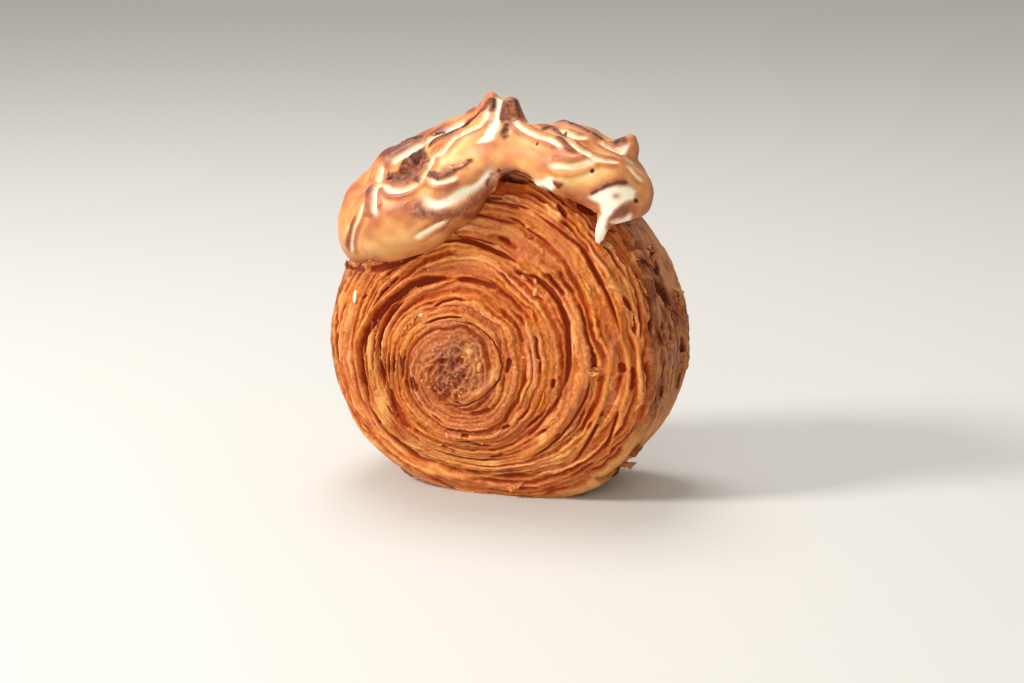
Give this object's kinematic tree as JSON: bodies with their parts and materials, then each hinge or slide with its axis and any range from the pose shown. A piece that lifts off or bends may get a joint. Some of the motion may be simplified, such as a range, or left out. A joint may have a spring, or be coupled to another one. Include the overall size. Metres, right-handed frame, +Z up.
{
  "type": "meringue topped croissant roll",
  "caption": "Round laminated croissant roll standing on its rim, its coiled flaky layers showing on both faces, under a torched lemon meringue cap with a peak and a drip.",
  "frame": {"origin": "Centre of the small flat spot on the rim that the roll stands on, level with the surface under it.", "axes": "+X to the right across the coiled front face; -Y out of that front face, so the roll's thickness runs along Y; +Z up, through the meringue peak."},
  "size_m": [0.1008, 0.0645, 0.1157],
  "materials": {
    "pastry": null,
    "meringue": null
  },
  "bodies": {
    "root": {"pastry_roll": "pastry", "meringue_cap": "meringue"}
  },
  "joints": []
}
